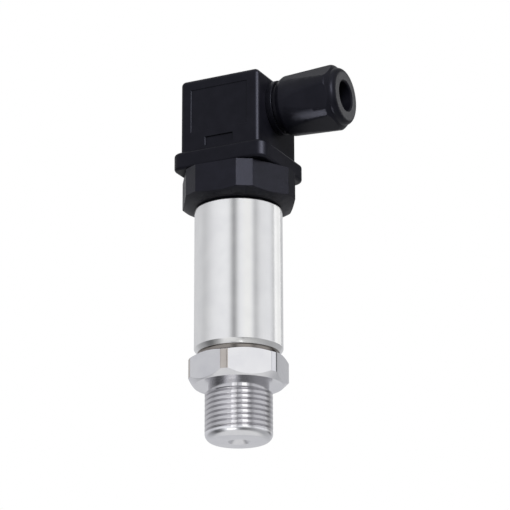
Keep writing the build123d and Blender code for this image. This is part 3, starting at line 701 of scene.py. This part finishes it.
def by_height(tree, height, span, below, above):
    """Fades from one colour to another between two heights of a direction."""
    rise = add(
        tree, "ShaderNodeMapRange", {"interpolation_type": "SMOOTHSTEP"},
        {"Value": height, "From Min": span[0], "From Max": span[1]},
    )
    mix = add(
        tree, "ShaderNodeMix", {"data_type": "RGBA"}, {0: rise.outputs[0], 6: below, 7: above}
    )
    return mix.outputs[2]


def studio():
    """White world for the camera and for glass, a surround with soft gaps for the metal, and an
    even pale level for everything else."""
    world = bpy.data.worlds.new("studio")
    bpy.context.scene.world = world
    world.use_nodes = True
    tree = world.node_tree
    tree.nodes.clear()
    place = add(tree, "ShaderNodeTexCoord", {}, {}).outputs["Generated"]
    split = add(tree, "ShaderNodeSeparateXYZ", {}, {0: place}).outputs
    turn = add(tree, "ShaderNodeMath", {"operation": "ARCTAN2"}, {0: split["Y"], 1: split["X"]})
    share = add(
        tree, "ShaderNodeMapRange", {}, {"Value": turn.outputs[0], "From Min": -pi, "From Max": pi}
    ).outputs[0]
    white = (1, 1, 1, 1)
    under = (SURROUND_UNDER, SURROUND_UNDER, SURROUND_UNDER, 1)
    low = by_height(tree, split["Z"], UNDER_TO_LOW, under, surround_ramp(tree, share, SURROUND_LOW))
    around = by_height(tree, split["Z"], LOW_TO_WALLS, low, surround_ramp(tree, share, SURROUND))
    rays = add(tree, "ShaderNodeLightPath", {}, {}).outputs
    plain = add(tree, "ShaderNodeBackground", {}, {"Color": white, "Strength": PLAIN_LEVEL})
    mirrored = add(tree, "ShaderNodeBackground", {}, {"Color": around, "Strength": 1.0})
    backdrop = add(tree, "ShaderNodeBackground", {}, {"Color": white, "Strength": 1.0})
    seen = add(
        tree, "ShaderNodeMath", {"operation": "MAXIMUM"},
        {0: rays["Is Camera Ray"], 1: rays["Is Transmission Ray"]},
    )
    unseen = add(
        tree, "ShaderNodeMixShader", {},
        {0: rays["Is Glossy Ray"], 1: plain.outputs[0], 2: mirrored.outputs[0]},
    )
    mixed = add(
        tree, "ShaderNodeMixShader", {},
        {0: seen.outputs[0], 1: unseen.outputs[0], 2: backdrop.outputs[0]},
    )
    add(tree, "ShaderNodeOutputWorld", {}, {"Surface": mixed.outputs[0]})


def floor():
    """Pale floor well below the sensor: clear from underneath, not mirrored by the metal, and
    faded out far from the middle."""
    bpy.ops.object.select_all(action="DESELECT")
    bpy.ops.mesh.primitive_plane_add(size=FLOOR_SIZE, location=(0, 0, -FLOOR_DROP))
    piece = bpy.context.object
    piece.name = "floor"
    material, tree, shader, place = new_material("painted_studio_floor")
    mottle = add(
        tree, "ShaderNodeTexNoise", {}, {"Vector": place, "Scale": per(40.0), "Detail": 3.0}
    ).outputs["Fac"]
    tree.links.new(tones(tree, mottle, "F4F4F4", "F8F8F8"), shader.inputs["Base Color"])
    shader.inputs["Roughness"].default_value = 0.8
    shader.inputs["Specular IOR Level"].default_value = 0.1
    far = add(tree, "ShaderNodeVectorMath", {"operation": "LENGTH"}, {0: place})
    fade = add(
        tree, "ShaderNodeMapRange", {"interpolation_type": "SMOOTHSTEP"},
        {"Value": far.outputs["Value"], "From Min": FLOOR_CLEAR_R, "From Max": FLOOR_FADE_R},
    )
    under = add(tree, "ShaderNodeNewGeometry", {}, {}).outputs["Backfacing"]
    mirrored = add(tree, "ShaderNodeLightPath", {}, {}).outputs["Is Glossy Ray"]
    unseen = add(tree, "ShaderNodeMath", {"operation": "MAXIMUM"}, {0: mirrored, 1: under})
    hide = add(
        tree, "ShaderNodeMath", {"operation": "MAXIMUM"},
        {0: fade.outputs[0], 1: unseen.outputs[0]},
    )
    clear = add(tree, "ShaderNodeBsdfTransparent", {}, {})
    mixed = add(
        tree, "ShaderNodeMixShader", {},
        {0: hide.outputs[0], 1: shader.outputs[0], 2: clear.outputs[0]},
    )
    output = [node for node in tree.nodes if node.type == "OUTPUT_MATERIAL"][0]
    tree.links.new(mixed.outputs[0], output.inputs["Surface"])
    finish(piece, material)


camera()
studio()
floor()

base_polyamide = moulded_polyamide(
    "base_polyamide", "08080C", "0E0E14", rough=(0.38, 0.5), grain_mm=0.34, pit_mm=0.05
)
plug_polyamide = moulded_polyamide(
    "plug_polyamide", "06060A", "0C0C11", rough=(0.35, 0.47), grain_mm=0.3, pit_mm=0.03
)
tube_steel = turned_steel(
    "ground_tube_steel", "E6E6E6", "EEEEED", rough=(0.17, 0.23), feed_mm=0.35
)
# The bar's steel is painted a darker warm grey in the groove under the tube: painted shade
bar_steel = turned_steel(
    "turned_bar_steel", "E0E0E4", "EAEAEC", rough=(0.14, 0.2), feed_mm=0.3,
    groove_shade=(GROOVE_SHADE_LOW, GROOVE_SHADE_HIGH, "8C8782"),
)
thread_steel = turned_steel("thread_steel", "BEBDC0", "CBCACD", rough=(0.08, 0.14), feed_mm=0.2)
# The hexagon's corner lands are duller than where the tool has cut, and they are painted darker and
# warmer: painted shade
shaded_corner_steel = turned_steel(
    "painted_shade_corner_steel", "B4ADA6", "C6C0BA", rough=(0.25, 0.31), feed_mm=0.5
)
zinc_steel = plated_metal("zinc_plated_steel", "B6B9BF", "CACDD2", rough=(0.23, 0.36))

SLOT_FINISHES = {
    "turned_steel": bar_steel,
    "satin_steel": tube_steel,
    "black_polyamide": plug_polyamide,
    "nitrile_rubber": moulded_rubber("nitrile_rubber", "08080A", "111113", rough=(0.6, 0.85)),
    "gold_plate": plated_metal("gold_plated_pin", "C89C3A", "E0B860", rough=(0.15, 0.28)),
    "white_ceramic": plain_dielectric(
        "fired_alumina", "DAD7CC", "E8E6DE", rough=(0.44, 0.56), grain_mm=1.2, ior=1.76
    ),
    "green_board": plain_dielectric(
        "solder_resist_laminate", "0E4A26", "17603A", rough=(0.29, 0.41), grain_mm=0.8, ior=1.55
    ),
    "black_epoxy": plain_dielectric(
        "chip_epoxy", "0C0C0D", "18181A", rough=(0.49, 0.61), grain_mm=0.4, ior=1.55
    ),
    "blue_plastic": plain_dielectric(
        "trimmer_plastic", "123E86", "1C54A6", rough=(0.24, 0.36), grain_mm=0.9, ior=1.5
    ),
    "red_insulation": plain_dielectric(
        "red_wire_insulation", "8E1212", "A81E1C", rough=(0.34, 0.46), grain_mm=0.7, ior=1.5
    ),
    "brass": plated_metal("machined_brass", "B08A3C", "CBA85A", rough=(0.2, 0.33)),
    "tinned_brass": plated_metal("tinned_contact_strip", "C4C3BE", "D6D5D0", rough=(0.25, 0.38)),
    "zinc_steel": zinc_steel,
}
for subpart in frame["record"]["subparts"]:
    finish(nodes[subpart["node"]], SLOT_FINISHES[subpart["material_slot"]])

hexagon = process_hexagon()
thread = process_thread()
tube = softened("housing_tube", "drawn_tube", STEEL_EDGE)
settle(thread, "transmitter", "process_port", thread_steel)
settle(hexagon, "transmitter", "process_port", bar_steel)
refinish(thread, bar_steel, lambda middle, normal: middle.z < THREAD_START)
# Corner lands away from the gland get the darker, warmer steel, which is painted shade; the land
# towards the gland keeps the bar's bright steel
refinish(
    hexagon, shaded_corner_steel,
    lambda middle, normal: hypot(middle.x, middle.y) > HEX_LAND_R
    and abs(normal.z) < UPRIGHT and middle.x < SHADED_LAND_END_X,
)
settle(tube, "transmitter", "housing_tube", tube_steel)
base = softened("connector_base", "moulded_base", BASE_EDGE)
settle(base, "transmitter", "connector_base", base_polyamide)
plug = softened("plug_housing", "moulded_plug", PLUG_EDGE)
cut_spout_thread(plug)
settle(plug, "plug", "plug_housing", plug_polyamide)
nut = softened("gland_nut", "moulded_gland_nut", NUT_EDGE, NUT_CORNER)
settle(nut, "nut", "gland_nut", plug_polyamide)
settle(long_screw(), "screw", "retaining_screw", zinc_steel)

# The key, side and left lamps draw the base's facets, and the corner lamp the plug's front edge.
# The nose and land lamps draw the nut. The others lift the tube's and the thread's bright bands.
lamp("key", azimuth=-62, elevation=20, size=(0.35, 0.35), power=13.0, pieces=[base, nut])
lamp("corner", azimuth=-24, elevation=20, size=(0.6, 0.5), power=20.0, pieces=[plug])
lamp("side", azimuth=8, elevation=20, size=(0.35, 0.35), power=2.0, pieces=[base])
lamp("left", azimuth=-176, elevation=18, size=(0.35, 0.35), power=0.6, pieces=[base])
lamp("nose", azimuth=60, elevation=20, size=(0.35, 0.35), power=1.1, pieces=[nut])
lamp("land", azimuth=-155, elevation=-52, size=(0.5, 0.5), power=45.0, pieces=[nut])
lamp("tube_side", azimuth=60, elevation=18, size=(0.65, 0.8), power=1.5, pieces=[tube])
lamp("tube_foot", azimuth=-36, elevation=-69, size=(0.6, 0.6), power=1.0, pieces=[tube])
lamp("bar", azimuth=-42, elevation=34, size=(0.36, 1.2), power=1.2, pieces=[thread])
lamp("bar_front", azimuth=-79, elevation=18, size=(0.34, 0.8), power=0.8, pieces=[thread])
lamp("bar_end", azimuth=-88, elevation=-28, size=(0.55, 0.3), power=0.55, pieces=[thread])
lamp("bar_side", azimuth=58, elevation=18, size=(0.9, 0.8), power=0.9, pieces=[thread])

bpy.context.scene.view_settings.view_transform = "Standard"
